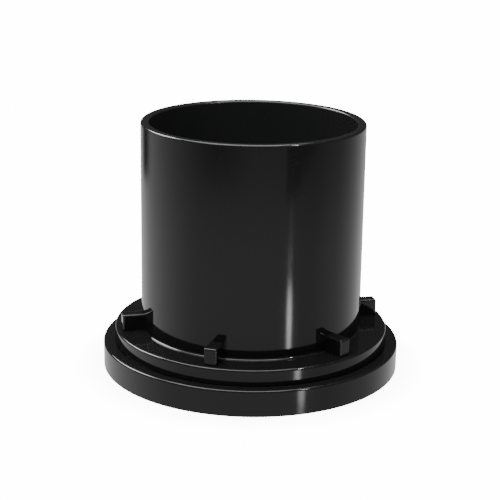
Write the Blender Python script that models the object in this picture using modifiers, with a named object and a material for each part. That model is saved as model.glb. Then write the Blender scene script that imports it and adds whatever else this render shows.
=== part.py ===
"""Toilet flange: a spigot with a lugged hub that turns and locks in a base ring, with its seals.

Metres, +Z up the tube. The origin is on the axis, at the underside of the base ring, and -Y is
the front. The tube, the hub ring and its lugs turn together about Z in the base ring.
"""

import math

import bmesh
import bpy
from mathutils import Matrix, Vector

# Envelope
TUBE_OD = 0.1100
TUBE_WALL = 0.0042
TUBE_RISE = 0.1032
STEP_OD = 0.1364
STEP_HEIGHT = 0.0078
BASE_OD = 0.1484
BASE_HEIGHT = 0.0130

# Lugs on the hub ring
LUG_COUNT = 6
LUG_FIRST_ANGLE = math.radians(-16.5)
LUG_WIDTH = 0.0065
LUG_HEIGHT = 0.0083
LUG_TIP_RADIUS = 0.0655
LUG_EDGE = 0.0006
TENON_WIDTH = 0.0045
TENON_DEPTH = 0.0030
TENON_INSET = 0.0016

# Bayonet
TAB_COUNT = 3
TAB_SPAN = math.radians(24)
BAYONET_TURN = math.radians(30)
TAB_FIRST_ANGLE = math.radians(14)
TAB_SIDE_GAP = math.radians(1)
TAB_REACH = 0.0028
TAB_LOW = 0.0080
TAB_HIGH = 0.0099

# Clearances and edges
GAP = 0.0003
EDGE = 0.0010
SMALL_EDGE = 0.0004
RIM_EDGE = 0.0011
ROOT_FILLET = 0.0010
ROOT_FILLET_STEPS = 3
OVERCUT = 0.0010

# Inside the base ring
FLOOR_TOP = 0.0073
FLOOR_UNDERSIDE = 0.0036
BORE_RADIUS = 0.0515
HUB_FOOT = 0.0077
HUB_FOOT_RADIUS = 0.0640
HUB_BORE_RADIUS = 0.0512
TUBE_SEAT = 0.0110
O_RING_RADIUS = 0.0575
O_RING_SECTION = 0.0018
SEAL_RECESS_RADIUS = 0.0618
GASKET_INNER_RADIUS = 0.0641
GASKET_OUTER_RADIUS = 0.0687
GASKET_LOW = 0.0002
GASKET_HIGH = 0.0027

# Lip seal and its retainer
RETAINER_LOW = 0.0003
RETAINER_THICKNESS = 0.0011
SEAL_BEAD = 0.0016
LIP_RADIUS = 0.0456
LIP_HEIGHT = 0.0093

# Facets round a full turn
ROUND_STEPS = 60
HIDDEN_STEPS = 48
SECTOR_STEP = math.radians(3)

# Worked out from the above
TUBE_RADIUS = TUBE_OD / 2
TUBE_BORE = TUBE_RADIUS - TUBE_WALL
STEP_RADIUS = STEP_OD / 2
BASE_RADIUS = BASE_OD / 2
STEP_TOP = BASE_HEIGHT + STEP_HEIGHT
TUBE_TOP = STEP_TOP + TUBE_RISE
WELL_RADIUS = HUB_FOOT_RADIUS + GAP
SEAT_RADIUS = STEP_RADIUS + GAP
SEAT_HEIGHT = BASE_HEIGHT - GAP
TAB_RADIUS = HUB_FOOT_RADIUS + TAB_REACH
TRACK_RADIUS = TAB_RADIUS + GAP

PLASTIC = ("glossy_black_plastic", (0.012, 0.012, 0.013, 1.0), 0.12)
SATIN_PLASTIC = ("satin_black_plastic", (0.018, 0.018, 0.019, 1.0), 0.35)
RUBBER = ("black_rubber", (0.022, 0.022, 0.022, 1.0), 0.60)
FOAM = ("grey_gasket_rubber", (0.085, 0.085, 0.090, 1.0), 0.80)


def clear_scene():
    for obj in list(bpy.data.objects):
        bpy.data.objects.remove(obj)


def new_collection(name):
    collection = bpy.data.collections.new(name)
    bpy.context.scene.collection.children.link(collection)
    return collection


def material(recipe):
    name, colour, roughness = recipe
    found = bpy.data.materials.get(name)
    if found:
        return found
    made = bpy.data.materials.new(name)
    made.use_nodes = True
    shader = made.node_tree.nodes["Principled BSDF"]
    shader.inputs["Base Color"].default_value = colour
    shader.inputs["Roughness"].default_value = roughness
    shader.inputs["Metallic"].default_value = 0.0
    return made


def add_object(name, mesh, collection, parent=None):
    obj = bpy.data.objects.new(name, mesh)
    collection.objects.link(obj)
    obj.parent = parent
    return obj


def hide_cutter(obj):
    obj.hide_render = True
    obj.display_type = "WIRE"


def signed_area(points):
    pairs = zip(points, points[1:] + points[:1])
    return sum(a[0] * b[1] - b[0] * a[1] for a, b in pairs) / 2


def round_corner(before, corner, after, radius, segments):
    """Points of the arc that rounds this corner of an outline."""
    into = (before - corner).normalized()
    out = (after - corner).normalized()
    half_angle = into.angle(out) / 2
    setback = radius / math.tan(half_angle)
    centre = corner + (into + out).normalized() * (radius / math.sin(half_angle))
    start = corner + into * setback - centre
    end = corner + out * setback - centre
    turn = start.angle_signed(end)
    points = []
    for step in range(segments + 1):
        offset = Matrix.Rotation(-turn * step / segments, 2) @ start
        points.append(centre + offset)
    return points


def rounded_outline(corners, segments=2):
    """A closed outline as (radius, height) points, from (radius, height, rounding) corners."""
    flat = [Vector(corner[:2]) for corner in corners]
    points = []
    for index, corner in enumerate(corners):
        if len(corner) == 2:
            points.append(flat[index])
            continue
        before = flat[index - 1]
        after = flat[(index + 1) % len(flat)]
        points += round_corner(before, flat[index], after, corner[2], segments)
    return points


def turned(name, corners, recipe, collection, parent=None, steps=ROUND_STEPS, segments=2):
    """A body of revolution about Z. Its outline runs down the outer side, so it faces out."""
    points = rounded_outline(corners, segments)
    if signed_area(points) > 0:
        points.reverse()
    mesh = bpy.data.meshes.new(name)
    vertices = [(point.x, 0.0, point.y) for point in points]
    count = len(vertices)
    edges = [(index, (index + 1) % count) for index in range(count)]
    mesh.from_pydata(vertices, edges, [])
    mesh.materials.append(material(recipe))
    obj = add_object(name, mesh, collection, parent)
    screw = obj.modifiers.new("turn", "SCREW")
    screw.axis = "Z"
    screw.angle = 2 * math.pi
    screw.steps = steps
    screw.render_steps = steps
    screw.use_smooth_shade = True
    return obj


def add_boolean(obj, other, operation):
    boolean = obj.modifiers.new(other.name, "BOOLEAN")
    boolean.operation = operation
    boolean.solver = "EXACT"
    boolean.object = other


def sector_outline(inner, outer, start, span):
    """The outline of a piece of a flat ring, from its start angle over its span."""
    steps = round(span / SECTOR_STEP)
    angles = [start + span * step / steps for step in range(steps + 1)]
    outside = [(outer * math.cos(a), outer * math.sin(a)) for a in angles]
    inside = [(inner * math.cos(a), inner * math.sin(a)) for a in reversed(angles)]
    return outside + inside


def sectors(name, radii, low, high, first, span, collection, parent=None):
    """One closed piece of ring for each bayonet tab, as a single mesh object."""
    curve = bpy.data.curves.new(name, "CURVE")
    curve.dimensions = "2D"
    curve.fill_mode = "BOTH"
    curve.extrude = (high - low) / 2
    for tab in range(TAB_COUNT):
        start = first + tab * 2 * math.pi / TAB_COUNT
        outline = sector_outline(*radii, start, span)
        spline = curve.splines.new("POLY")
        spline.points.add(len(outline) - 1)
        for point, (x, y) in zip(spline.points, outline):
            point.co = (x, y, 0.0, 1.0)
        spline.use_cyclic_u = True
    guide = bpy.data.objects.new(name + "_outline", curve)
    collection.objects.link(guide)
    graph = bpy.context.evaluated_depsgraph_get()
    mesh = bpy.data.meshes.new_from_object(guide.evaluated_get(graph))
    bpy.data.objects.remove(guide)
    shape = bmesh.new()
    shape.from_mesh(mesh)
    bmesh.ops.remove_doubles(shape, verts=shape.verts, dist=1e-6)
    bmesh.ops.recalc_face_normals(shape, faces=shape.faces)
    bmesh.ops.translate(shape, verts=shape.verts, vec=(0, 0, (low + high) / 2))
    shape.to_mesh(mesh)
    shape.free()
    obj = add_object(name, mesh, collection, parent)
    hide_cutter(obj)
    return obj


def box_between(shape, low, high, turn=0.0):
    """Adds a box to a bmesh, given by two corners and turned about Z."""
    low, high = Vector(low), Vector(high)
    place = Matrix.Translation((low + high) / 2)
    size = Matrix.Diagonal((*(high - low), 1.0))
    bmesh.ops.create_cube(shape, size=1.0, matrix=Matrix.Rotation(turn, 4, "Z") @ place @ size)


def lug_angle(index):
    """The direction of a lug about Z, from +X. Lug 1 is the first one to the left of the front."""
    return LUG_FIRST_ANGLE - math.pi / 2 + (index - 1) * 2 * math.pi / LUG_COUNT


def lug_pockets(collection, parent):
    """The cutter for the six pockets in the hub ring that take the lugs' tenons."""
    shape = bmesh.new()
    for index in range(1, LUG_COUNT + 1):
        inner = TUBE_RADIUS + TENON_INSET - GAP
        outer = LUG_TIP_RADIUS - TENON_INSET + GAP
        half = TENON_WIDTH / 2 + GAP
        low = (inner, -half, STEP_TOP - TENON_DEPTH - GAP)
        high = (outer, half, STEP_TOP + OVERCUT)
        box_between(shape, low, high, lug_angle(index))
    mesh = bpy.data.meshes.new("lug_pockets")
    shape.to_mesh(mesh)
    shape.free()
    obj = add_object("lug_pockets", mesh, collection, parent)
    hide_cutter(obj)
    return obj


def lug_mesh():
    """A lug along +X: a block with broken edges on a smaller tenon, as one body."""
    block = bmesh.new()
    half = LUG_WIDTH / 2
    block_low = (TUBE_RADIUS + GAP, -half, STEP_TOP + GAP)
    block_high = (LUG_TIP_RADIUS, half, STEP_TOP + LUG_HEIGHT)
    box_between(block, block_low, block_high)
    bmesh.ops.bevel(
        block, geom=block.edges[:], offset=LUG_EDGE, segments=2, profile=0.5, affect="EDGES"
    )
    mesh = bpy.data.meshes.new("lug_block")
    block.to_mesh(mesh)
    block.free()
    tenon = bmesh.new()
    half = TENON_WIDTH / 2
    tenon_low = (TUBE_RADIUS + TENON_INSET, -half, STEP_TOP - TENON_DEPTH)
    tenon_high = (LUG_TIP_RADIUS - TENON_INSET, half, STEP_TOP + LUG_HEIGHT / 2)
    box_between(tenon, tenon_low, tenon_high)
    tenon_mesh = bpy.data.meshes.new("lug_tenon")
    tenon.to_mesh(tenon_mesh)
    tenon.free()
    return mesh, tenon_mesh


def fillet_clearance(collection, parent):
    """The cutter that notches each lug's inner lower corner clear of the root fillet."""
    inner = TUBE_RADIUS - OVERCUT
    outer = TUBE_RADIUS + ROOT_FILLET + 2 * GAP
    high = STEP_TOP + ROOT_FILLET + GAP
    corners = [(outer, STEP_TOP), (inner, STEP_TOP), (inner, high), (outer - GAP, high)]
    obj = turned("fillet_clearance", corners, PLASTIC, collection, parent, steps=2 * ROUND_STEPS)
    hide_cutter(obj)
    return obj


def make_lugs(collection, cutters, parent):
    block, tenon = lug_mesh()
    block.materials.append(material(PLASTIC))
    notch = fillet_clearance(cutters, parent)
    for index in range(1, LUG_COUNT + 1):
        lug = add_object(f"grip_lug_{index}", block, collection, parent)
        foot = add_object(f"lug_tenon_{index}", tenon, cutters, parent)
        hide_cutter(foot)
        lug.rotation_euler.z = lug_angle(index)
        foot.rotation_euler.z = lug_angle(index)
        add_boolean(lug, foot, "UNION")
        add_boolean(lug, notch, "DIFFERENCE")


def make_tube(collection, parent):
    """The spigot: a plain straight tube with a rounded rim, seated in the hub ring."""
    foot = TUBE_SEAT + GAP
    turned(
        "spigot_tube",
        [
            (TUBE_RADIUS, TUBE_TOP, RIM_EDGE),
            (TUBE_RADIUS, foot),
            (TUBE_BORE, foot),
            (TUBE_BORE, TUBE_TOP, RIM_EDGE),
        ],
        PLASTIC,
        collection,
        parent,
        segments=3,
    )


def root_fillet(bore):
    """The hollow curve from the tube's wall down to the step, as outline points."""
    centre = (bore + ROOT_FILLET, STEP_TOP + ROOT_FILLET)
    points = []
    for step in range(ROOT_FILLET_STEPS + 1):
        angle = math.pi + math.pi / 2 * step / ROOT_FILLET_STEPS
        across = centre[0] + ROOT_FILLET * math.cos(angle)
        up = centre[1] + ROOT_FILLET * math.sin(angle)
        points.append((across, up))
    return points


def make_hub_ring(collection, cutters, parent):
    """The stepped ring that carries the tube: a disc, and below it a foot with bayonet tabs."""
    bore = TUBE_RADIUS + GAP
    ring = turned(
        "hub_ring",
        [
            *root_fillet(bore),
            (STEP_RADIUS, STEP_TOP, EDGE),
            (STEP_RADIUS, BASE_HEIGHT),
            (HUB_FOOT_RADIUS, BASE_HEIGHT),
            (HUB_FOOT_RADIUS, HUB_FOOT),
            (HUB_BORE_RADIUS, HUB_FOOT),
            (HUB_BORE_RADIUS, TUBE_SEAT),
            (bore, TUBE_SEAT),
        ],
        PLASTIC,
        collection,
        parent,
    )
    radii = (HUB_FOOT_RADIUS - OVERCUT, TAB_RADIUS)
    tabs = sectors(
        "bayonet_tabs", radii, TAB_LOW, TAB_HIGH, TAB_FIRST_ANGLE, TAB_SPAN, cutters, parent
    )
    add_boolean(ring, tabs, "UNION")
    add_boolean(ring, lug_pockets(cutters, parent), "DIFFERENCE")


def make_base_ring(collection, cutters):
    """The lower ring: a seat and a well for the hub in an outer wall, and recesses for the seals."""
    groove_half = O_RING_SECTION / 2 + GAP
    groove_low = HUB_FOOT - O_RING_SECTION - 2 * GAP
    ring = turned(
        "base_ring",
        [
            (BASE_RADIUS, BASE_HEIGHT, EDGE),
            (BASE_RADIUS, 0.0, SMALL_EDGE),
            (GASKET_OUTER_RADIUS + GAP, 0.0),
            (GASKET_OUTER_RADIUS + GAP, GASKET_HIGH + GAP),
            (GASKET_INNER_RADIUS - GAP, GASKET_HIGH + GAP),
            (GASKET_INNER_RADIUS - GAP, 0.0),
            (SEAL_RECESS_RADIUS, 0.0),
            (SEAL_RECESS_RADIUS, FLOOR_UNDERSIDE),
            (BORE_RADIUS, FLOOR_UNDERSIDE),
            (BORE_RADIUS, FLOOR_TOP),
            (O_RING_RADIUS - groove_half, FLOOR_TOP),
            (O_RING_RADIUS - groove_half, groove_low),
            (O_RING_RADIUS + groove_half, groove_low),
            (O_RING_RADIUS + groove_half, FLOOR_TOP),
            (WELL_RADIUS, FLOOR_TOP),
            (WELL_RADIUS, SEAT_HEIGHT),
            (SEAT_RADIUS, SEAT_HEIGHT),
            (SEAT_RADIUS, BASE_HEIGHT),
        ],
        PLASTIC,
        collection,
    )
    radii = (WELL_RADIUS - OVERCUT, TRACK_RADIUS)
    first = TAB_FIRST_ANGLE - TAB_SIDE_GAP
    track_span = TAB_SPAN + BAYONET_TURN + 2 * TAB_SIDE_GAP
    entry_span = TAB_SPAN + 2 * TAB_SIDE_GAP
    low = TAB_LOW - GAP
    tracks = sectors(
        "bayonet_tracks", radii, low, TAB_HIGH + GAP, first, track_span, cutters
    )
    entries = sectors(
        "bayonet_entries",
        radii,
        (TAB_LOW + TAB_HIGH) / 2,
        BASE_HEIGHT + OVERCUT,
        first + BAYONET_TURN,
        entry_span,
        cutters,
    )
    add_boolean(ring, tracks, "DIFFERENCE")
    add_boolean(ring, entries, "DIFFERENCE")


def make_o_ring(collection):
    """A round-section ring in the groove under the hub's foot."""
    sides = 10
    radius = O_RING_SECTION / 2
    centre_height = HUB_FOOT - GAP - radius
    corners = []
    for side in range(sides):
        angle = 2 * math.pi * side / sides
        corner = (
            O_RING_RADIUS + radius * math.cos(angle),
            centre_height + radius * math.sin(angle),
        )
        corners.append(corner)
    turned("hub_o_ring", corners, RUBBER, collection, steps=HIDDEN_STEPS)


def make_pan_seal(collection):
    """The lip seal: a flat bead under the floor, and a cone that leans up into the bore."""
    bead_top = FLOOR_UNDERSIDE - GAP
    bead_low = bead_top - SEAL_BEAD
    bead_outer = SEAL_RECESS_RADIUS - GAP
    lip_root = BORE_RADIUS - 2 * GAP
    turned(
        "pan_seal",
        [
            (bead_outer, bead_top),
            (bead_outer, bead_low),
            (BORE_RADIUS, bead_low, EDGE),
            (LIP_RADIUS, LIP_HEIGHT - 2 * SMALL_EDGE),
            (LIP_RADIUS + SMALL_EDGE, LIP_HEIGHT),
            (LIP_RADIUS + 3 * SMALL_EDGE, LIP_HEIGHT - SMALL_EDGE),
            (lip_root, bead_top + 2 * GAP),
            (BORE_RADIUS, bead_top),
        ],
        RUBBER,
        collection,
        steps=HIDDEN_STEPS,
    )


def make_seal_retainer(collection):
    """The flat ring pressed into the recess under the seal's bead."""
    outer = SEAL_RECESS_RADIUS - GAP
    high = RETAINER_LOW + RETAINER_THICKNESS
    turned(
        "seal_retainer",
        [
            (outer, high),
            (outer, RETAINER_LOW),
            (BORE_RADIUS, RETAINER_LOW, SMALL_EDGE),
            (BORE_RADIUS, high, SMALL_EDGE),
        ],
        SATIN_PLASTIC,
        collection,
    )


def make_face_gasket(collection):
    turned(
        "face_gasket",
        [
            (GASKET_OUTER_RADIUS, GASKET_HIGH),
            (GASKET_OUTER_RADIUS, GASKET_LOW),
            (GASKET_INNER_RADIUS, GASKET_LOW),
            (GASKET_INNER_RADIUS, GASKET_HIGH),
        ],
        FOAM,
        collection,
    )


def main():
    clear_scene()
    parts = new_collection("toilet_flange")
    cutters = new_collection("toilet_flange_cutters")
    turn_axis = add_object("spigot_turn_axis", None, parts)
    make_tube(parts, turn_axis)
    make_hub_ring(parts, cutters, turn_axis)
    make_lugs(parts, cutters, turn_axis)
    make_base_ring(parts, cutters)
    make_o_ring(parts)
    make_pan_seal(parts)
    make_seal_retainer(parts)
    make_face_gasket(parts)


main()
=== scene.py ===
"""Toilet flange: the finished looks of the spigot, its lugged hub, the base ring and the seals.

Metres, +Z up the tube, -Y at the front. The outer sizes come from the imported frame.
"""

import math
from math import radians

import bmesh
import bpy
from mathutils import Matrix, Vector, noise


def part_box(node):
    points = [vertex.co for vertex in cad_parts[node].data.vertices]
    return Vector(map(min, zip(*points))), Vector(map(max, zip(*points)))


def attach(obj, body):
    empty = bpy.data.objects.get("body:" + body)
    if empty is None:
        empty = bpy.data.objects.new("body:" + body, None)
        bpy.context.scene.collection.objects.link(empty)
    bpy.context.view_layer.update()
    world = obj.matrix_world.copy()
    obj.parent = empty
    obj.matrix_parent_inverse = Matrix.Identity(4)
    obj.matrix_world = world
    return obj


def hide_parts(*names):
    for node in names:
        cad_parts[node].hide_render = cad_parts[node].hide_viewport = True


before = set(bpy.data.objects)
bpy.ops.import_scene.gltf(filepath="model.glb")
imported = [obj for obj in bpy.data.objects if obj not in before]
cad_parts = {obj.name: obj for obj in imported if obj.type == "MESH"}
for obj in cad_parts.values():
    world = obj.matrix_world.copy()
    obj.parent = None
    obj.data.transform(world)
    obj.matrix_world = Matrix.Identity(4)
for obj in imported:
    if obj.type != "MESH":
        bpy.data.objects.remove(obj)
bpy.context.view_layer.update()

bl_info = {
    "name": "Toilet flange",
    "version": (1, 0, 0),
    "blender": (4, 5, 0),
    "location": "View3D > Sidebar > Flange",
    "description": "Makes a black plastic toilet flange with its lugs, seals and a studio stage",
    "category": "Add Mesh",
}

# ---------------------------------------------------------------- sizes from the frame

TUBE_LOW, TUBE_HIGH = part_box("spigot_tube")
HUB_LOW, HUB_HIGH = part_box("hub_ring")
BASE_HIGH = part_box("base_ring")[1]
LUG_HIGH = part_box("grip_lug_1")[1]
O_RING_LOW, O_RING_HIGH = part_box("hub_o_ring")
SEAL_LOW, SEAL_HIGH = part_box("pan_seal")
RETAINER_LOW, RETAINER_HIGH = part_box("seal_retainer")
GASKET_LOW, GASKET_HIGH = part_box("face_gasket")

# ---------------------------------------------------------------- sizes inside the flange

MM = 0.001
FULL_TURN = 2 * math.pi
LARGEST_SIZE = 200 * MM
# the room between two pieces that fit into each other
FIT_GAP = 0.3 * MM
# how far a lug sinks into the step, so that no line of light shows under it
OVERLAP = 0.02 * MM

TUBE_RADIUS = TUBE_HIGH.x
TUBE_SEAT = 11.0 * MM

STEP_RADIUS = HUB_HIGH.x
ROOT_FILLET = 1.0 * MM
ROOT_WEAR = 0.3
STEP_TOP = HUB_HIGH.z - ROOT_FILLET
STEP_CLEARANCE = 0.08 * MM
HUB_FOOT_RADIUS = 64.0 * MM
HUB_BORE_RADIUS = 51.2 * MM

TAB_COUNT = 3
TAB_FIRST = radians(14)
TAB_SPAN = radians(24)
TAB_REACH = 2.8 * MM
TAB_HEIGHTS = (8.0 * MM, 9.9 * MM)
TAB_ROUND = 0.3 * MM
TAB_SIDE_GAP = radians(1)
BAYONET_TURN = radians(30)

LUG_COUNT = 6
LUG_FIRST = radians(-16.5)
TENON_INSET = 1.6 * MM
TENON_WIDTH = 4.5 * MM
TENON_DEPTH = 3.0 * MM

BASE_RADIUS = BASE_HIGH.x
BASE_BORE_RADIUS = 51.5 * MM
# the thin web across the ring, with the hub's foot above it and the lip seal below it
WEB_TOP = 7.3 * MM
WEB_UNDERSIDE = 3.6 * MM
SEAL_RECESS_RADIUS = 61.8 * MM
GASKET_GROOVE_WIDTH = 5.2 * MM
O_RING_RADIUS = 57.5 * MM
O_RING_GROOVE_HALF = 1.2 * MM
O_RING_GROOVE_LOW = 5.3 * MM
O_RING_SIDES = 28

LIP_RADIUS = 45.6 * MM
LIP_RIBS = 5
LIP_RIB_DEPTH = 0.14 * MM
RETAINER_GROOVE_RADIUS = 57.0 * MM
RETAINER_GROOVE_HALF = 0.5 * MM
RETAINER_GROOVE_DEPTH = 0.3 * MM
GASKET_WIDTH = 4.5 * MM
GASKET_ROUND = 0.35 * MM
GASKET_SKIN_GAP = 0.05 * MM
# how fine each kind of lump is, as lumps in a metre, and how high it stands
GASKET_LUMPS = ((260.0, 0.030 * MM), (900.0, 0.015 * MM))

SHARP_ANGLE = radians(32)
FOLD_ANGLE = radians(60)

# ---------------------------------------------------------------- the stage

CAMERA_PLACE = (0.0, -0.6745, 0.2632)
CAMERA_PITCH = 0.295
CAMERA_ROLL = 0.015
CAMERA_LENS = 101.65
CAMERA_SENSOR = 36.0
CAMERA_SHIFT = -0.0034

FLOOR_RADIUS = 4.0
FLOOR_DROP = 0.02 * MM
FLOOR_BRIGHT = 15.5
# painted shadow: the floor glows dimmer right by the ring, and painted shade leaves it nearly dark
# under the ring
FLOOR_PAINTED_SHADOW = 11.0
FLOOR_PAINTED_SHADE_UNDER_RING = 0.3
FLOOR_PAINTED_SHADOW_WIDTH = 20 * MM
FLOOR_PAINTED_SHADE_FROM_TO = (BASE_RADIUS - 5 * MM, BASE_RADIUS - 15 * MM)
WHITE_SURROUNDINGS = 16.0

# name, place, size, watts, and whether it lights the matt part of a surface too
SOFTBOXES = (
    ("overhead", (-0.12, 0.0, 0.85), (1.0, 0.9), 14.0, True),
    ("window", (-0.819, 0.473, 0.739), (0.72, 0.56), 16.0, False),
    ("small_lamp", (0.661, -0.638, 0.771), (0.06, 0.06), 2.8, False),
)


def length(name, description, default):
    """A size that the user can change, in the scene's unit of length."""
    return bpy.props.FloatProperty(
        name=name,
        description=description,
        default=default,
        min=0.0,
        max=LARGEST_SIZE,
        unit="LENGTH",
        subtype="DISTANCE",
        precision=5,
    )


def shade(name, description, default):
    """A colour that the user can change."""
    return bpy.props.FloatVectorProperty(
        name=name,
        description=description,
        default=default,
        size=3,
        min=0.0,
        max=1.0,
        subtype="COLOR",
    )


class FlangeSizes(bpy.types.PropertyGroup):
    """The sizes that the frame's boxes don't give."""

    wall: length("Tube wall", "Thickness of the tube's wall", 4.2 * MM)
    rim_round: length("Rim rounding", "Radius of the rim's two edges", 1.1 * MM)
    edge_round: length("Edge rounding", "Radius of the outer edge of each step", 1.0 * MM)
    lug_width: length("Lug width", "Width of a lug across its end", 6.5 * MM)
    lug_reach: length("Lug reach", "Distance of a lug's end from the axis", 65.5 * MM)
    lug_round: length("Lug rounding", "Radius of a lug's edges", 0.95 * MM)
    steps: bpy.props.IntProperty(
        name="Steps", description="Facets round a full turn", default=240, min=48, max=480
    )


class FlangeColours(bpy.types.PropertyGroup):
    """The colours of the plastics, the rubbers and the floor."""

    plastic: shade("Plastic", "Glossy black plastic", (0.0115, 0.0115, 0.0118))
    bore: shade("Bore", "Unpolished plastic inside the tube", (0.022, 0.022, 0.023))
    worn: shade("Worn plastic", "Plastic where an edge is rubbed", (0.030, 0.030, 0.031))
    dust: shade("Dust", "Specks of dust on the glossy plastic", (0.05, 0.05, 0.05))
    satin: shade("Satin plastic", "Plastic of the seal retainer", (0.016, 0.016, 0.017))
    rubber: shade("Rubber", "Rubber of the lip seal and the O-ring", (0.018, 0.018, 0.018))
    bloom: shade("Bloom", "Pale bloom on the rubber", (0.045, 0.044, 0.042))
    foam: shade("Gasket", "Sponge rubber of the face gasket", (0.085, 0.085, 0.090))
    # painted shade: the dark colour put into the hollows of the burst cells
    cells: shade("Gasket cells", "Burst cells in the gasket's skin", (0.030, 0.030, 0.032))
    faded: shade("Faded gasket", "Paler patches of the gasket's skin", (0.13, 0.13, 0.135))
    floor: shade("Floor", "The pale floor", (1.0, 1.0, 1.0))


# ---------------------------------------------------------------- shader nodes


class Socket:
    """A shader value. Arithmetic on it adds Math nodes to its tree."""

    def __init__(self, tree, socket):
        self.tree = tree
        self.socket = socket

    def math(self, operation, *values):
        """Adds one Math node that works on the given values."""
        return self.tree.add("ShaderNodeMath", {"operation": operation}, dict(enumerate(values)))

    def __add__(self, other):
        return self.math("ADD", self, other)

    def __sub__(self, other):
        return self.math("SUBTRACT", self, other)

    def __rsub__(self, other):
        return self.math("SUBTRACT", other, self)

    def __mul__(self, other):
        return self.math("MULTIPLY", self, other)

    def __abs__(self):
        return self.math("ABSOLUTE", self)

    __radd__ = __add__
    __rmul__ = __mul__

    def root(self):
        return self.math("SQRT", self)

    def at_most(self, limit):
        return self.math("MINIMUM", self, limit)

    def in_degrees(self):
        return self.math("DEGREES", self)

    def ramp(self, start, end, low=0.0, high=1.0):
        """Goes smoothly from low to high as this value goes from start to end."""
        values = {"Value": self, "From Min": start, "From Max": end, "To Min": low, "To Max": high}
        return self.tree.add("ShaderNodeMapRange", {"interpolation_type": "SMOOTHSTEP"}, values)

    def hill(self, centre, half_width):
        """One where this value is at the centre, and nothing beyond the half width."""
        return abs(self - centre).ramp(half_width, 0.0)


class Tree:
    """A node tree that is written as expressions."""

    def __init__(self, owner):
        owner.use_nodes = True
        self.nodes = owner.node_tree.nodes
        self.links = owner.node_tree.links
        self.nodes.clear()

    def add(self, kind, settings=None, sockets=None, output=0):
        """Adds a node of a kind, with its settings and the values or links of its sockets."""
        node = self.nodes.new(kind)
        for name, value in (settings or {}).items():
            setattr(node, name, value)
        for name, value in (sockets or {}).items():
            if isinstance(value, Socket):
                self.links.new(value.socket, node.inputs[name])
            else:
                node.inputs[name].default_value = value
        return Socket(self, node.outputs[output] if node.outputs else None)

    def object_point(self):
        """The place of a point on the object, as it stood at rest."""
        return self.add("ShaderNodeTexCoord", output="Object")

    def parts(self, vector):
        """The three parts of a vector."""
        split = self.add("ShaderNodeSeparateXYZ", {}, {"Vector": vector})
        outputs = split.socket.node.outputs
        return [Socket(self, outputs[axis]) for axis in "XYZ"]

    def scaled(self, vector, scales):
        """A vector times a scale for each of its parts."""
        settings = {"operation": "MULTIPLY"}
        return self.add("ShaderNodeVectorMath", settings, {0: vector, 1: scales})

    def noise(self, vector, scale, detail, roughness=0.5):
        """Cloudy noise from 0 to 1."""
        values = {"Vector": vector, "Scale": scale, "Detail": detail, "Roughness": roughness}
        return self.add("ShaderNodeTexNoise", {}, values, "Fac")

    def mix(self, factor, first, second):
        """Mixes two colours."""
        values = {0: factor, 6: first, 7: second}
        return self.add("ShaderNodeMix", {"data_type": "RGBA"}, values, 2)

    def wear(self):
        """How worn a point is: 1 in the middle of a rounded edge, and 0 on a flat."""
        return self.add("ShaderNodeAttribute", {"attribute_name": "wear"}, {}, "Fac")

    def bump(self, height, strength, distance):
        """The normal that a height gives."""
        values = {"Height": height, "Strength": strength, "Distance": distance}
        return self.add("ShaderNodeBump", {}, values)


def rgba(colour):
    """A colour that hides what is behind it."""
    return (*colour, 1.0)


# the turn of one direction of marks, how thin they are, their scale, and how rare they are
SCRATCHES = (
    ((0.4, 0.9, 0.2), 34.0, 42.0, 0.70),
    ((1.3, 0.2, 0.8), 40.0, 36.0, 0.71),
    ((0.1, 1.5, 0.5), 30.0, 50.0, 0.71),
    ((0.7, 0.5, 1.4), 36.0, 46.0, 0.70),
)
SCRATCH_SOFTNESS = 0.07


def scratches(tree, point, turn, thinness, scale, rarity):
    """Fine straight marks in one direction, as a mask. A higher rarity leaves fewer."""
    turned_point = tree.add(
        "ShaderNodeVectorRotate",
        {"rotation_type": "EULER_XYZ"},
        {"Vector": point, "Rotation": turn},
    )
    drawn = tree.scaled(turned_point, (1.0, thinness, thinness))
    return tree.noise(drawn, scale, detail=1.0).ramp(rarity, rarity + SCRATCH_SOFTNESS)


def handling_marks(tree, point):
    """Hairline scratches in four directions."""
    return sum(scratches(tree, point, *marks) for marks in SCRATCHES).at_most(1.0)


def new_material(name):
    """A new material and its empty tree."""
    made = bpy.data.materials.new(name)
    return made, Tree(made)


def close_material(tree, sockets):
    """Adds the plastic or rubber shader and the output."""
    shader = tree.add("ShaderNodeBsdfPrincipled", {}, sockets)
    tree.add("ShaderNodeOutputMaterial", {}, {"Surface": shader})


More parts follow.
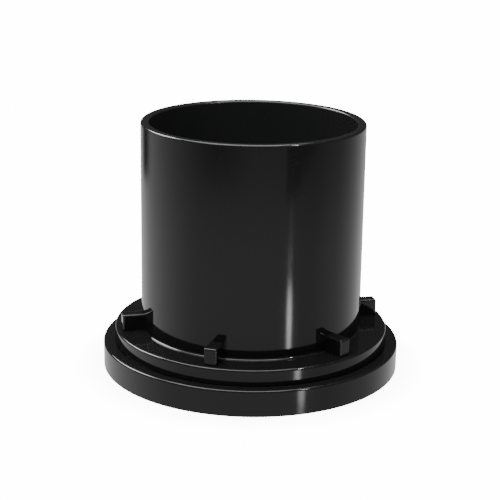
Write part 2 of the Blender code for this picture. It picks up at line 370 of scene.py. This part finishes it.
def glossy_plastic(colours):
    """Polished mould finish: faint orange peel, smudges, hairlines, rubbed edges, a duller bore."""
    made, tree = new_material("polished_plastic")
    point = tree.object_point()
    smudge = tree.noise(point, scale=26.0, detail=3.0, roughness=0.55).ramp(0.35, 0.70)
    cloud = tree.noise(point, scale=75.0, detail=4.0, roughness=0.6)
    peel = tree.noise(point, scale=1500.0, detail=2.0)
    ripple = tree.noise(point, scale=240.0, detail=1.0, roughness=0.4)
    grit = tree.noise(point, scale=5200.0, detail=1.0)
    patches = tree.noise(point, scale=420.0, detail=3.0, roughness=0.65).ramp(0.35, 0.62)

    x, y, _ = tree.parts(point)
    bore_edge = HUB_BORE_RADIUS - 0.05 * MM
    inside = (x * x + y * y).root().ramp(bore_edge, bore_edge - 0.25 * MM)
    fewer_marks, less_dust = 0.7, 0.8
    marks = handling_marks(tree, point) * (1.0 - fewer_marks * inside)
    rubbed = tree.wear() * patches
    dust = grit.ramp(0.74, 0.80) * cloud.ramp(0.45, 0.62) * (1.0 - less_dust * inside)

    clean, smudged, clouded, scratched = 0.045, 0.045, 0.015, 0.10
    worn_dull, dusty, bore_dull = 0.06, 0.10, 0.16
    roughness = clean + smudged * smudge + clouded * cloud + scratched * marks
    roughness = roughness + worn_dull * rubbed + dusty * dust + bore_dull * inside
    worn_pale, dust_pale = 0.35, 0.12
    colour = tree.mix(inside, rgba(colours.plastic), rgba(colours.bore))
    colour = tree.mix(rubbed * worn_pale, colour, rgba(colours.worn))
    colour = tree.mix(dust * dust_pale, colour, rgba(colours.dust))
    peel_high, ripple_high, marks_deep, grit_high = 0.5, 0.25, 0.35, 0.2
    grain = peel_high * peel + ripple_high * ripple - marks_deep * marks + grit_high * grit
    close_material(
        tree,
        {
            "Base Color": colour,
            "Roughness": roughness,
            "Metallic": 0.0,
            "IOR": 1.5,
            "Normal": tree.bump(grain, strength=0.35, distance=0.010 * MM),
        },
    )
    return made


def satin_plastic(colours):
    """Spark-eroded mould finish: an even fine grain with a few rubs."""
    made, tree = new_material("satin_plastic")
    point = tree.object_point()
    grain = tree.noise(point, scale=3600.0, detail=2.0, roughness=0.6)
    cloud = tree.noise(point, scale=90.0, detail=3.0, roughness=0.6)
    patches = tree.noise(point, scale=500.0, detail=2.0, roughness=0.6).ramp(0.40, 0.70)
    marks = handling_marks(tree, point)
    rubbed = tree.wear() * patches
    clean, clouded, scratched, worn_smooth = 0.36, 0.10, 0.08, 0.10
    clouded_pale, worn_pale, marks_deep = 0.35, 0.5, 0.3
    pale = cloud * clouded_pale + rubbed * worn_pale
    close_material(
        tree,
        {
            "Base Color": tree.mix(pale, rgba(colours.satin), rgba(colours.worn)),
            "Roughness": clean + clouded * cloud - worn_smooth * rubbed + scratched * marks,
            "IOR": 1.5,
            "Normal": tree.bump(grain - marks_deep * marks, strength=0.6, distance=0.03 * MM),
        },
    )
    return made


def seal_rubber(colours):
    """Moulded rubber: matt, with bloom and the fine pitting of its mould."""
    made, tree = new_material("seal_rubber")
    point = tree.object_point()
    bloom = tree.noise(point, scale=60.0, detail=4.0, roughness=0.65).ramp(0.42, 0.75)
    pits = tree.noise(point, scale=2400.0, detail=2.0, roughness=0.55)
    coarse = tree.noise(point, scale=600.0, detail=2.0)
    clean, bloomed, coarsened = 0.52, 0.16, 0.06
    bloom_pale, pits_deep, coarse_deep = 0.45, 0.6, 0.4
    skin = pits_deep * pits + coarse_deep * coarse
    close_material(
        tree,
        {
            "Base Color": tree.mix(bloom * bloom_pale, rgba(colours.rubber), rgba(colours.bloom)),
            "Roughness": clean + bloomed * bloom + coarsened * coarse,
            "IOR": 1.48,
            "Normal": tree.bump(skin, strength=0.5, distance=0.05 * MM),
        },
    )
    return made


def gasket_foam(colours):
    """Closed-cell sponge: small burst cells in a matt grey skin, their hollows darkened by painted
    shade.
    """
    made, tree = new_material("gasket_foam")
    point = tree.object_point()
    values = {"Vector": point, "Scale": 1900.0}
    cells = tree.add("ShaderNodeTexVoronoi", {"feature": "F1"}, values, "Distance")
    patches = tree.noise(point, scale=140.0, detail=3.0, roughness=0.6)
    # painted shade: the colour darkens where the burst cells' hollows sink in
    cell_hollow_shade = cells.ramp(0.45, 0.15) * patches.ramp(0.35, 0.60)
    clean, patchy = 0.80, 0.12
    cell_shade_dark, faded_pale, patches_high = 0.7, 0.3, 0.5
    colour = tree.mix(cell_hollow_shade * cell_shade_dark, rgba(colours.foam), rgba(colours.cells))
    colour = tree.mix(patches.ramp(0.50, 0.80) * faded_pale, colour, rgba(colours.faded))
    skin = cells.ramp(0.0, 0.6) + patches_high * patches
    close_material(
        tree,
        {
            "Base Color": colour,
            "Roughness": clean + patchy * patches,
            "IOR": 1.45,
            "Normal": tree.bump(skin, strength=0.8, distance=0.12 * MM),
        },
    )
    return made


def plastic(colours):
    """The glossy plastic, made once and shared by every piece that has it."""
    return bpy.data.materials.get("polished_plastic") or glossy_plastic(colours)


# ---------------------------------------------------------------- shapes


def arc(before, corner, after, radius, segments):
    """The points that round one corner of an outline, convex or hollow."""
    into = (before - corner).normalized()
    out = (after - corner).normalized()
    half_angle = into.angle(out) / 2
    setback = radius / math.tan(half_angle)
    centre = corner + (into + out).normalized() * (radius / math.sin(half_angle))
    start = corner + into * setback - centre
    turn = start.angle_signed(corner + out * setback - centre)
    return [centre + Matrix.Rotation(-turn * i / segments, 2) @ start for i in range(segments + 1)]


def section(corners, segments=8):
    """A closed outline of (radius, height, wear) points.

    A corner is (radius, height), or (radius, height, rounding) where it is rounded. The wear is
    1 in the middle of a rounded corner and 0 where it meets a flat.
    """
    flat = [Vector(corner[:2]) for corner in corners]
    points = []
    for index, corner in enumerate(corners):
        if len(corner) == 2:
            points.append((*flat[index], 0.0))
            continue
        before = flat[index - 1]
        after = flat[(index + 1) % len(flat)]
        for step, point in enumerate(arc(before, flat[index], after, corner[2], segments)):
            points.append((*point, math.sin(math.pi * step / segments)))
    return points


def smooth(mesh):
    """Shades a mesh smooth between its sharp edges."""
    mesh.shade_smooth()
    mesh.set_sharp_from_angle(angle=SHARP_ANGLE)


def finish_mesh(shape, name, material):
    """Turns a bmesh into an object with a material."""
    bmesh.ops.recalc_face_normals(shape, faces=shape.faces)
    mesh = bpy.data.meshes.new(name)
    shape.to_mesh(mesh)
    shape.free()
    smooth(mesh)
    mesh.materials.append(material)
    piece = bpy.data.objects.new(name, mesh)
    bpy.context.scene.collection.objects.link(piece)
    return piece


def turned(name, outline, material, steps):
    """A body of revolution about Z from a closed outline of (radius, height, wear) points."""
    shape = bmesh.new()
    wear = shape.verts.layers.float.new("wear")
    ring = []
    for radius, height, worn in outline:
        vertex = shape.verts.new((radius, 0.0, height))
        vertex[wear] = worn
        ring.append(vertex)
    edges = [shape.edges.new((ring[i - 1], ring[i])) for i in range(len(ring))]
    bmesh.ops.spin(
        shape,
        geom=ring + edges,
        axis=(0, 0, 1),
        cent=(0, 0, 0),
        angle=FULL_TURN,
        steps=steps,
        use_merge=True,
    )
    return finish_mesh(shape, name, material)


def sector(name, radii, heights, start, span, material, rounding=0.0):
    """A piece of a flat ring, from its start angle over its span."""
    (inner, outer), (low, high) = radii, heights
    shape = bmesh.new()
    corners = [(inner, 0, low), (outer, 0, low), (outer, 0, high), (inner, 0, high)]
    face = shape.faces.new([shape.verts.new(corner) for corner in corners])
    bmesh.ops.rotate(shape, verts=face.verts, matrix=Matrix.Rotation(start, 3, "Z"))
    bmesh.ops.spin(
        shape,
        geom=[face, *face.edges, *face.verts],
        axis=(0, 0, 1),
        cent=(0, 0, 0),
        angle=span,
        steps=round(math.degrees(span)),
    )
    bmesh.ops.recalc_face_normals(shape, faces=shape.faces)
    if rounding:
        folds = [edge for edge in shape.edges if edge.calc_face_angle() > FOLD_ANGLE]
        bmesh.ops.bevel(
            shape, geom=folds, offset=rounding, segments=2, affect="EDGES", profile=0.5
        )
    return finish_mesh(shape, name, material)


def block(low, high, turn=0.0):
    """A bmesh box between two corners, turned about Z."""
    shape = bmesh.new()
    low, high = Vector(low), Vector(high)
    size = Matrix.Diagonal((*(high - low), 1.0))
    place = Matrix.Rotation(turn, 4, "Z") @ Matrix.Translation((low + high) / 2) @ size
    bmesh.ops.create_cube(shape, size=1.0, matrix=place)
    return shape


def circle_section(radius, height, half, sides):
    """The outline of a round cord that lies in a ring."""
    turns = [FULL_TURN * side / sides for side in range(sides)]
    return [(radius + half * math.cos(t), height + half * math.sin(t), 0.0) for t in turns]


def ribbed(start, end, count, depth):
    """Points on a line from start to end, with a hollow in its right-hand side between ribs."""
    samples_each = 8
    along = end - start
    across = Vector((along.y, -along.x)).normalized()
    samples = count * samples_each
    points = []
    for sample in range(samples + 1):
        share = sample / samples
        hollow = depth * math.sin(math.pi * share * count) ** 2
        points.append(tuple(start + along * share + across * hollow))
    return points


def combine(piece, others, operation):
    """Joins other shapes to a piece, or cuts them from it, and removes them."""
    for other in others:
        boolean = piece.modifiers.new(other.name, "BOOLEAN")
        boolean.operation = operation
        boolean.solver = "EXACT"
        boolean.object = other
    graph = bpy.context.evaluated_depsgraph_get()
    mesh = bpy.data.meshes.new_from_object(piece.evaluated_get(graph))
    piece.modifiers.clear()
    piece.data = mesh
    smooth(mesh)
    for other in others:
        bpy.data.objects.remove(other)


def settle(piece, body, slot, *nodes):
    """Puts a finished piece on its body, with the CAD nodes that it stands for."""
    flatter = piece.modifiers.new("even shading", "WEIGHTED_NORMAL")
    flatter.keep_sharp = True
    flatter.weight = 100
    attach(piece, body)
    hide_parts(*nodes)


def require(condition, message):
    """Stops with a message where a size can't be made."""
    if not condition:
        raise RuntimeError(message)


def lug_turn(index):
    """The direction of a lug about Z, from +X. Lug 1 is the first one left of the front."""
    return LUG_FIRST - math.pi / 2 + (index - 1) * FULL_TURN / LUG_COUNT


def tenon_corners(reach, gap):
    """The lowest and highest corners of a lug's tenon, grown by a gap. The lug points to +X."""
    half = TENON_WIDTH / 2 + gap
    low = (TUBE_RADIUS + TENON_INSET - gap, -half, STEP_TOP - TENON_DEPTH - gap)
    high = (reach - TENON_INSET + gap, half, STEP_TOP + MM)
    return low, high


# ---------------------------------------------------------------- operators


class FLANGE_OT_tube(bpy.types.Operator):
    """Makes the spigot tube, with its rounded rim"""

    bl_idname = "flange.tube"
    bl_label = "Spigot tube"

    def execute(self, context):
        sizes = context.scene.flange_sizes
        bore = TUBE_RADIUS - sizes.wall
        require(sizes.wall > 2 * sizes.rim_round, "the rim's edges meet: make the wall thicker")
        foot_round = 0.2 * MM
        corners = [
            (TUBE_RADIUS, TUBE_HIGH.z, sizes.rim_round),
            (TUBE_RADIUS, TUBE_LOW.z, foot_round),
            (bore, TUBE_LOW.z, foot_round),
            (bore, TUBE_HIGH.z, sizes.rim_round),
        ]
        material = plastic(context.scene.flange_colours)
        tube = turned("tube", section(corners, segments=10), material, sizes.steps)
        settle(tube, "spigot", "glossy_black_plastic", "spigot_tube")
        return {"FINISHED"}


class FLANGE_OT_hub(bpy.types.Operator):
    """Makes the hub: the stepped disc at the tube's foot, with its bayonet tabs"""

    bl_idname = "flange.hub"
    bl_label = "Hub ring"

    def execute(self, context):
        sizes = context.scene.flange_sizes
        material = plastic(context.scene.flange_colours)
        hub = turned("hub", self.outline(sizes.edge_round), material, sizes.steps)
        combine(hub, self.tabs(material), "UNION")
        combine(hub, self.pockets(sizes.lug_reach, material), "DIFFERENCE")
        settle(hub, "spigot", "glossy_black_plastic", "hub_ring")
        return {"FINISHED"}

    def outline(self, edge_round):
        """The step, its foot, and the hollow fillet where it meets the tube."""
        underside = BASE_HIGH.z + STEP_CLEARANCE
        up_the_tube = Vector((TUBE_RADIUS, HUB_HIGH.z))
        root = Vector((TUBE_RADIUS, STEP_TOP))
        out_on_the_step = Vector((STEP_RADIUS, STEP_TOP))
        hollow = arc(up_the_tube, root, out_on_the_step, ROOT_FILLET, segments=8)
        corners = [
            (STEP_RADIUS, STEP_TOP, edge_round),
            (STEP_RADIUS, underside, 0.15 * MM),
            (HUB_FOOT_RADIUS, underside, 0.3 * MM),
            (HUB_FOOT_RADIUS, HUB_LOW.z, 0.4 * MM),
            (HUB_BORE_RADIUS, HUB_LOW.z, 0.3 * MM),
            (HUB_BORE_RADIUS, TUBE_SEAT),
            (TUBE_RADIUS, TUBE_SEAT),
            tuple(hollow[-1]),
        ]
        # the last corner only leads into the first one: the hollow already holds it
        return [(*point, ROOT_WEAR) for point in hollow] + section(corners)[:-1]

    def tabs(self, material):
        """The bayonet tabs round the foot."""
        radii = (HUB_FOOT_RADIUS - MM, HUB_FOOT_RADIUS + TAB_REACH)
        made = []
        for index in range(TAB_COUNT):
            start = TAB_FIRST + index * FULL_TURN / TAB_COUNT
            name = f"tab_{index}"
            made.append(sector(name, radii, TAB_HEIGHTS, start, TAB_SPAN, material, TAB_ROUND))
        return made

    def pockets(self, reach, material):
        """The cutters for the pockets that hold the lugs' tenons."""
        made = []
        for index in range(1, LUG_COUNT + 1):
            shape = block(*tenon_corners(reach, FIT_GAP), lug_turn(index))
            made.append(finish_mesh(shape, f"pocket_{index}", material))
        return made


class FLANGE_OT_lugs(bpy.types.Operator):
    """Makes the six grip lugs, each a block on a tenon"""

    bl_idname = "flange.lugs"
    bl_label = "Grip lugs"

    def execute(self, context):
        sizes = context.scene.flange_sizes
        require(sizes.lug_width > TENON_WIDTH, "a lug is thinner than its tenon: make it wider")
        material = plastic(context.scene.flange_colours)
        for index in range(1, LUG_COUNT + 1):
            lug = self.one_lug(index, sizes, material)
            settle(lug, "spigot", "glossy_black_plastic", f"grip_lug_{index}")
        return {"FINISHED"}

    def one_lug(self, index, sizes, material):
        """A rounded block that reaches into the tube's wall, on its tenon."""
        half = sizes.lug_width / 2
        low = (TUBE_RADIUS - FIT_GAP, -half, STEP_TOP - OVERLAP)
        high = (sizes.lug_reach, half, LUG_HIGH.z)
        shape = block(low, high)
        wear = shape.verts.layers.float.new("wear")
        exposed = [edge for edge in shape.edges if self.is_exposed(edge, low)]
        made = bmesh.ops.bevel(
            shape, geom=exposed, offset=sizes.lug_round, segments=6, profile=0.5, affect="EDGES"
        )
        rounded = set(made["faces"])
        for vertex in made["verts"]:
            vertex[wear] = float(rounded.issuperset(vertex.link_faces))
        lug = finish_mesh(shape, f"lug_{index}", material)
        tenon = block(*tenon_corners(sizes.lug_reach, 0.0))
        combine(lug, [finish_mesh(tenon, f"tenon_{index}", material)], "UNION")
        lug.data.transform(Matrix.Rotation(lug_turn(index), 4, "Z"))
        return lug

    def is_exposed(self, edge, low):
        """True for an edge that neither the step nor the tube's wall hides."""
        at_foot = all(abs(vertex.co.z - low[2]) < OVERLAP / 2 for vertex in edge.verts)
        at_wall = all(abs(vertex.co.x - low[0]) < OVERLAP / 2 for vertex in edge.verts)
        return not at_foot and not at_wall


class FLANGE_OT_base(bpy.types.Operator):
    """Makes the base ring, with its seat, bayonet tracks and seal recesses"""

    bl_idname = "flange.base"
    bl_label = "Base ring"

    def execute(self, context):
        sizes = context.scene.flange_sizes
        material = plastic(context.scene.flange_colours)
        outline = section(self.corners(sizes.edge_round), segments=6)
        base = turned("base", outline, material, sizes.steps)
        combine(base, self.tracks(material), "DIFFERENCE")
        settle(base, "base", "glossy_black_plastic", "base_ring")
        return {"FINISHED"}

    def corners(self, edge_round):
        """The ring's section: down its side, in under it, then up through the bore to its seat."""
        well = HUB_FOOT_RADIUS + FIT_GAP
        seat = STEP_RADIUS + FIT_GAP
        seat_height = BASE_HIGH.z - FIT_GAP
        groove_outer = GASKET_HIGH.x + FIT_GAP
        groove_inner = groove_outer - GASKET_GROOVE_WIDTH
        groove_top = GASKET_HIGH.z + FIT_GAP
        o_ring_inner = O_RING_RADIUS - O_RING_GROOVE_HALF
        o_ring_outer = O_RING_RADIUS + O_RING_GROOVE_HALF
        return [
            (BASE_RADIUS, BASE_HIGH.z, edge_round),
            (BASE_RADIUS, 0.0, 0.45 * MM),
            (groove_outer, 0.0, 0.15 * MM),
            (groove_outer, groove_top, 0.2 * MM),
            (groove_inner, groove_top, 0.2 * MM),
            (groove_inner, 0.0, 0.15 * MM),
            (SEAL_RECESS_RADIUS, 0.0, 0.2 * MM),
            (SEAL_RECESS_RADIUS, WEB_UNDERSIDE),
            (BASE_BORE_RADIUS, WEB_UNDERSIDE, 0.2 * MM),
            (BASE_BORE_RADIUS, WEB_TOP, 0.3 * MM),
            (o_ring_inner, WEB_TOP, 0.1 * MM),
            (o_ring_inner, O_RING_GROOVE_LOW, 0.3 * MM),
            (o_ring_outer, O_RING_GROOVE_LOW, 0.3 * MM),
            (o_ring_outer, WEB_TOP, 0.1 * MM),
            (well, WEB_TOP, 0.4 * MM),
            (well, seat_height, 0.2 * MM),
            (seat, seat_height),
            (seat, BASE_HIGH.z, 0.12 * MM),
        ]

    def tracks(self, material):
        """The cutters for the bayonet: a level track for each tab, and its way in from above."""
        radii = (HUB_FOOT_RADIUS + FIT_GAP - MM, HUB_FOOT_RADIUS + TAB_REACH + FIT_GAP)
        low, high = TAB_HEIGHTS
        track = (low - FIT_GAP, high + FIT_GAP)
        entry = ((low + high) / 2, BASE_HIGH.z + MM)
        entry_span = TAB_SPAN + 2 * TAB_SIDE_GAP
        track_span = entry_span + BAYONET_TURN
        cutters = []
        for index in range(TAB_COUNT):
            start = TAB_FIRST - TAB_SIDE_GAP + index * FULL_TURN / TAB_COUNT
            cutters.append(sector(f"track_{index}", radii, track, start, track_span, material))
            start += BAYONET_TURN
            cutters.append(sector(f"entry_{index}", radii, entry, start, entry_span, material))
        return cutters


class FLANGE_OT_seals(bpy.types.Operator):
    """Makes the O-ring, the ribbed lip seal, its retainer and the face gasket"""

    bl_idname = "flange.seals"
    bl_label = "Seals"

    def execute(self, context):
        sizes = context.scene.flange_sizes
        colours = context.scene.flange_colours
        rubber = seal_rubber(colours)
        self.o_ring(sizes.steps, rubber)
        self.lip_seal(sizes.steps, rubber)
        self.retainer(sizes.steps, satin_plastic(colours))
        self.gasket(sizes.steps, gasket_foam(colours))
        return {"FINISHED"}

    def o_ring(self, steps, rubber):
        """A round cord in a ring."""
        half = (O_RING_HIGH.z - O_RING_LOW.z) / 2
        middle = (O_RING_HIGH.z + O_RING_LOW.z) / 2
        outline = circle_section(O_RING_HIGH.x - half, middle, half, O_RING_SIDES)
        ring = turned("o_ring", outline, rubber, steps)
        settle(ring, "base", "black_seal_rubber", "hub_o_ring")

    def lip_seal(self, steps, rubber):
        """A flat bead, and a cone that leans up into the bore, with ribs where it grips."""
        bead_top = WEB_UNDERSIDE - FIT_GAP
        root = Vector((BASE_BORE_RADIUS - 0.2 * MM, SEAL_LOW.z + 0.5 * MM))
        tip = Vector((LIP_RADIUS, SEAL_HIGH.z - 1.0 * MM))
        corners = [
            (SEAL_HIGH.x, bead_top, 0.2 * MM),
            (SEAL_HIGH.x, SEAL_LOW.z, 0.2 * MM),
            (BASE_BORE_RADIUS + 0.6 * MM, SEAL_LOW.z),
            *ribbed(root, tip, LIP_RIBS, LIP_RIB_DEPTH),
            (LIP_RADIUS + 0.25 * MM, SEAL_HIGH.z, 0.3 * MM),
            (LIP_RADIUS + 1.1 * MM, SEAL_HIGH.z - 0.45 * MM),
            (BASE_BORE_RADIUS - 0.6 * MM, bead_top + 0.6 * MM),
            (BASE_BORE_RADIUS, bead_top),
        ]
        seal = turned("lip_seal", section(corners, segments=5), rubber, steps)
        settle(seal, "base", "black_seal_rubber", "pan_seal")

    def retainer(self, steps, satin):
        """A flat ring with a shallow groove round its underside."""
        low, high, outer = RETAINER_LOW.z, RETAINER_HIGH.z, RETAINER_HIGH.x
        corners = [
            (outer, high, 0.15 * MM),
            (outer, low, 0.25 * MM),
            (RETAINER_GROOVE_RADIUS + RETAINER_GROOVE_HALF, low, 0.1 * MM),
            (RETAINER_GROOVE_RADIUS, low + RETAINER_GROOVE_DEPTH, 0.15 * MM),
            (RETAINER_GROOVE_RADIUS - RETAINER_GROOVE_HALF, low, 0.1 * MM),
            (BASE_BORE_RADIUS, low, 0.4 * MM),
            (BASE_BORE_RADIUS, high, 0.4 * MM),
        ]
        ring = turned("retainer", section(corners, segments=5), satin, steps)
        settle(ring, "base", "satin_black_plastic", "seal_retainer")

    def gasket(self, steps, foam):
        """A sponge ring whose skin is never quite even."""
        outer = GASKET_HIGH.x - GASKET_SKIN_GAP
        inner = outer - GASKET_WIDTH
        low, high = GASKET_LOW.z + GASKET_SKIN_GAP, GASKET_HIGH.z - GASKET_SKIN_GAP
        strips = 9
        across = [outer - GASKET_WIDTH * strip / strips for strip in range(1, strips)]
        places = [(outer, high), (outer, low), (inner, low), (inner, high)]
        ends = section([(*place, GASKET_ROUND) for place in places], segments=4)
        half = len(ends) // 2
        outline = ends[:half] + [(radius, low, 0.0) for radius in across] + ends[half:]
        outline += [(radius, high, 0.0) for radius in reversed(across)]
        ring = turned("gasket", outline, foam, steps)
        for vertex in ring.data.vertices:
            lumps = [noise.noise(vertex.co * fine) * height for fine, height in GASKET_LUMPS]
            vertex.co += vertex.normal * sum(lumps)
        settle(ring, "base", "grey_gasket_rubber", "face_gasket")


class FLANGE_OT_stage(bpy.types.Operator):
    """Makes the pale floor, the studio light and the camera"""

    bl_idname = "flange.stage"
    bl_label = "Studio stage"

    def execute(self, context):
        self.floor(context)
        self.surroundings(context)
        for softbox in SOFTBOXES:
            self.softbox(context, *softbox)
        self.camera(context)
        return {"FINISHED"}

    def floor(self, context):
        """A pale disc that neither lights the object nor is mirrored in it."""
        shape = bmesh.new()
        bmesh.ops.create_circle(shape, cap_ends=True, radius=FLOOR_RADIUS, segments=128)
        floor = finish_mesh(shape, "floor", self.floor_material(context.scene.flange_colours))
        floor.location.z = -FLOOR_DROP
        for ray in ("visible_diffuse", "visible_glossy", "visible_transmission", "visible_shadow"):
            setattr(floor, ray, False)

    def floor_material(self, colours):
        """A bright even floor with a painted shadow round the ring and painted shade inside it, and
        clear from below.
        """
        made, tree = new_material("pale_floor")
        x, y, _ = tree.parts(tree.object_point())
        radius = (x * x + y * y).root()
        # painted shadow: the glow dims towards the ring; painted shade: it drops to almost nothing
        # inside the ring
        painted_shadow_end = BASE_RADIUS + FLOOR_PAINTED_SHADOW_WIDTH
        strength = radius.ramp(BASE_RADIUS, painted_shadow_end, FLOOR_PAINTED_SHADOW, FLOOR_BRIGHT)
        painted_shade_inside = radius.ramp(*FLOOR_PAINTED_SHADE_FROM_TO)
        strength = strength - painted_shade_inside * (FLOOR_PAINTED_SHADOW - FLOOR_PAINTED_SHADE_UNDER_RING)
        values = {0: tuple(colours.floor), "Scale": strength}
        colour = tree.add("ShaderNodeVectorMath", {"operation": "SCALE"}, values)
        glow = tree.add("ShaderNodeEmission", {}, {"Color": colour})
        back = tree.add("ShaderNodeNewGeometry", {}, {}, "Backfacing")
        clear = tree.add("ShaderNodeBsdfTransparent")
        both = tree.add("ShaderNodeMixShader", {}, {0: back, 1: glow, 2: clear})
        tree.add("ShaderNodeOutputMaterial", {}, {"Surface": both})
        return made

    def surroundings(self, context):
        """White to the camera. To the object, a pale table below and a dim room above.

        Angles are in degrees: the azimuth from the front, and the elevation from the horizon.
        """
        world = bpy.data.worlds.new("studio")
        context.scene.world = world
        tree = Tree(world)
        x, y, z = tree.parts(tree.add("ShaderNodeTexCoord", {}, {}, "Generated"))
        azimuth = x.math("ARCTAN2", x, y * -1.0).in_degrees()
        elevation = z.math("ARCSINE", z).in_degrees()
        table = self.table_light(azimuth, elevation) + self.glare(azimuth, elevation)
        front, back, ceiling = 0.14, 0.05, 0.06
        room = abs(azimuth).ramp(90.0, 150.0, front, back)
        room = room + elevation.ramp(30.0, 60.0, 0.0, ceiling)
        above = elevation.ramp(-6.0, 2.0)
        light = table * (1.0 - above) + room * above
        seen = tree.add("ShaderNodeLightPath", {}, {}, "Is Camera Ray")
        strength = light * (1.0 - seen) + seen * WHITE_SURROUNDINGS
        background = tree.add("ShaderNodeBackground", {}, {"Color": strength})
        tree.add("ShaderNodeOutputWorld", {}, {"Surface": background})

    def table_light(self, azimuth, elevation):
        """The table top: brighter near the object and behind it, with soft dark shapes far off."""
        whole, dip_dark = 0.87, 0.09
        near = elevation.ramp(-12.0, -17.5, low=0.33, high=0.62)
        behind_left = (-1.0 * azimuth).ramp(50.0, 116.0, high=0.46)
        behind_right = azimuth.ramp(88.0, 150.0, high=0.45)
        dip = azimuth.hill(centre=63.0, half_width=28.0)
        level = near + behind_left + behind_right - dip * dip_dark

        figure_dark, stand_dark, gap_dark = 0.62, 0.72, 0.95
        figure = azimuth.hill(centre=-33.0, half_width=40.0) * elevation.ramp(-15.4, -12.8)
        lean = elevation.ramp(-15.0, -12.0, low=44.0, high=66.0)
        stand = azimuth.ramp(32.0, 36.0) * (azimuth - lean).ramp(4.0, -4.0)
        stand = stand * elevation.ramp(-15.2, -14.2)
        gap = azimuth.hill(centre=-140.0, half_width=18.0) * elevation.ramp(-14.3, -13.6)
        level = level * (1.0 - figure * figure_dark)
        level = level * (1.0 - stand * stand_dark)
        return whole * level * (1.0 - gap * gap_dark)

    def glare(self, azimuth, elevation):
        """The long glare of a lamp on the table, with a wide weak glow round it."""
        middle = 39.9
        bright, weak, faint = 15.0, 0.40, 0.20
        narrow = azimuth.hill(middle, half_width=4.4)
        wide = azimuth.hill(middle, half_width=13.0)
        lower = elevation.ramp(-18.0, -19.5)
        upper = elevation.ramp(-14.4, -15.4)
        near_end = elevation.ramp(-23.2, -22.6, low=0.30)
        fading = elevation.ramp(-20.8, -19.7, low=0.45)
        core = narrow * (lower * bright + upper * faint)
        return (core + wide * lower * weak) * near_end * fading

    def softbox(self, context, name, place, size, watts, lights_matt):
        """A rectangular lamp that faces the middle of the floor."""
        lamp = bpy.data.lights.new(name, "AREA")
        lamp.shape = "RECTANGLE"
        lamp.size, lamp.size_y = size
        lamp.energy = watts
        source = bpy.data.objects.new(name, lamp)
        source.location = place
        source.rotation_euler = (-Vector(place)).to_track_quat("-Z", "Y").to_euler()
        source.visible_camera = False
        source.visible_diffuse = lights_matt
        context.scene.collection.objects.link(source)

    def camera(self, context):
        """The camera, tilted down at the flange from the front."""
        data = bpy.data.cameras.new("camera")
        data.lens = CAMERA_LENS
        data.sensor_width = CAMERA_SENSOR
        data.shift_x = CAMERA_SHIFT
        camera = bpy.data.objects.new("camera", data)
        tilt = Matrix.Rotation(math.pi / 2 - CAMERA_PITCH, 4, "X")
        roll = Matrix.Rotation(CAMERA_ROLL, 4, "Z")
        camera.matrix_world = Matrix.Translation(CAMERA_PLACE) @ tilt @ roll
        context.scene.collection.objects.link(camera)
        context.scene.camera = camera


class FLANGE_PT_panel(bpy.types.Panel):
    """Lists the flange's sizes, colours and pieces"""

    bl_idname = "FLANGE_PT_panel"
    bl_label = "Toilet flange"
    bl_space_type = "VIEW_3D"
    bl_region_type = "UI"
    bl_category = "Flange"

    def draw(self, context):
        column = self.layout.column()
        for group in (context.scene.flange_sizes, context.scene.flange_colours):
            for name in group.bl_rna.properties.keys():
                if name not in ("rna_type", "name"):
                    column.prop(group, name)
        for operator in OPERATORS:
            column.operator(operator.bl_idname)


OPERATORS = (
    FLANGE_OT_tube,
    FLANGE_OT_hub,
    FLANGE_OT_lugs,
    FLANGE_OT_base,
    FLANGE_OT_seals,
    FLANGE_OT_stage,
)
CLASSES = (FlangeSizes, FlangeColours, *OPERATORS, FLANGE_PT_panel)


def register():
    for item in CLASSES:
        bpy.utils.register_class(item)
    bpy.types.Scene.flange_sizes = bpy.props.PointerProperty(type=FlangeSizes)
    bpy.types.Scene.flange_colours = bpy.props.PointerProperty(type=FlangeColours)


def unregister():
    del bpy.types.Scene.flange_colours
    del bpy.types.Scene.flange_sizes
    for item in reversed(CLASSES):
        bpy.utils.unregister_class(item)


def main():
    register()
    bpy.ops.flange.tube()
    bpy.ops.flange.hub()
    bpy.ops.flange.lugs()
    bpy.ops.flange.base()
    bpy.ops.flange.seals()
    bpy.ops.flange.stage()


if __name__ == "__main__":
    main()
